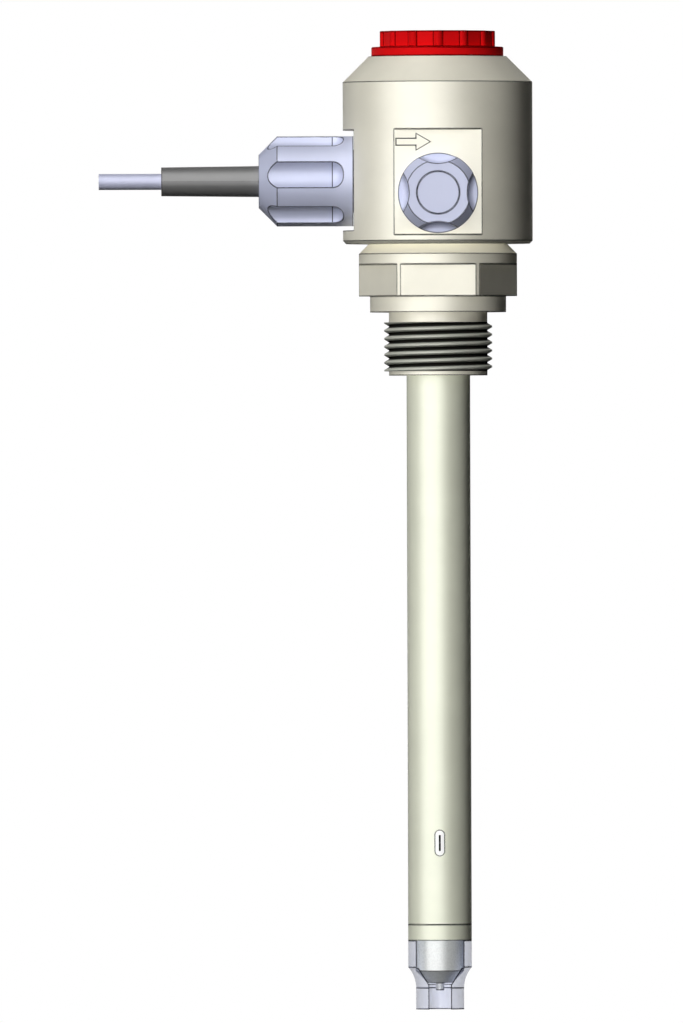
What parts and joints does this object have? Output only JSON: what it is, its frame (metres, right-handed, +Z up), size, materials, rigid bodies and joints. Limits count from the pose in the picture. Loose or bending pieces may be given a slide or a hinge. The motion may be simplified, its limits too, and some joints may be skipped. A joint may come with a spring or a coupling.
{
  "type": "ph electrode",
  "caption": "Process pH electrode: wiring head with screw cap, cable gland and blanked port, screwed hexagon connection, and immersion shaft with a guarded glass tip.",
  "frame": {"origin": "on the axis of the shaft, at the sealing face under the collar", "axes": "+Z up along the shaft towards the screw cap; the cable gland points to -X and the blanked port to -Y"},
  "size_m": [0.1084, 0.0578, 0.2446],
  "materials": {
    "head": "turned ivory plastic, satin",
    "shaft": "ivory plastic, satin",
    "cap_red": "red moulded plastic",
    "gland": "lavender grey moulded plastic",
    "sleeve": "dark grey rubber",
    "seal": "black rubber",
    "cable": "lavender grey cable jacket",
    "cores": "wire insulation",
    "guard": "translucent pale plastic",
    "glass": "electrode glass",
    "membrane": "sensing glass",
    "inner_glass": "clear inner glass",
    "silver": "silver wire",
    "steel": "stainless steel",
    "insert": "white insert",
    "ceramic": "porous ceramic",
    "inner_plastic": "black moulded plastic",
    "board": "green circuit board",
    "terminal": "green terminal block",
    "chip": "black package",
    "aluminium": "capacitor cans"
  },
  "bodies": {
    "probe": {"head_housing": "head", "process_connection": "head", "base_seal": "seal", "lock_nut": "inner_plastic", "shaft_tube": "shaft", "junction_insert": "insert", "end_ring": "shaft", "tip_guard": "guard", "lower_seal": "seal", "upper_seal": "seal", "electrode_glass": "glass", "membrane_tip": "membrane", "reference_diaphragm": "ceramic", "inner_tube": "inner_glass", "measuring_wire": "silver", "reference_wire": "silver", "temperature_sensor": "steel", "electrode_cap": "inner_plastic", "electrode_lead": "cores", "circuit_board": "board", "board_screws": "steel", "terminal_block": "terminal", "terminal_screws": "steel", "amplifier_chip": "chip", "capacitors": "aluminium", "resistors": "chip", "gland_body": "gland", "gland_ring": "seal", "gland_seal": "seal", "cable": "cable", "cable_cores": "cores", "port_body": "gland", "port_ring": "seal", "port_seal": "seal"},
    "cap_lift": {"cap_seal": "seal"},
    "cap": {"red_cap": "cap_red"},
    "gland_lift": {"bend_sleeve": "sleeve"},
    "gland": {"gland_nut": "gland"},
    "port_lift": {"blanking_plug": "gland"},
    "port": {"port_cap": "gland"}
  },
  "joints": [
    {"name": "cap_lift", "type": "slide", "parent": "probe", "child": "cap_lift", "axis": [0, 0, 1], "range_m": [0, 0.006]},
    {"name": "cap_turn", "type": "hinge", "parent": "cap_lift", "child": "cap", "pos_m": [0, 0, 0.064], "axis": [0, 0, 1], "range_deg": [0, 1440]},
    {"name": "gland_lift", "type": "slide", "parent": "probe", "child": "gland_lift", "axis": [-1, 0, 0], "range_m": [0, 0.006]},
    {"name": "gland_turn", "type": "hinge", "parent": "gland_lift", "child": "gland", "pos_m": [-0.03, 0, 0.0328], "axis": [-1, 0, 0], "range_deg": [0, 1440]},
    {"name": "port_lift", "type": "slide", "parent": "probe", "child": "port_lift", "axis": [0, -1, 0], "range_m": [0, 0.006]},
    {"name": "port_turn", "type": "hinge", "parent": "port_lift", "child": "port", "pos_m": [0, -0.03, 0.0296], "axis": [0, -1, 0], "range_deg": [0, 1440]}
  ],
  "couplings": [
    {"joint": "cap_lift", "follows": "cap_turn", "m_per_rad": 0.00023873},
    {"joint": "gland_lift", "follows": "gland_turn", "m_per_rad": 0.00023873},
    {"joint": "port_lift", "follows": "port_turn", "m_per_rad": 0.00023873}
  ]
}
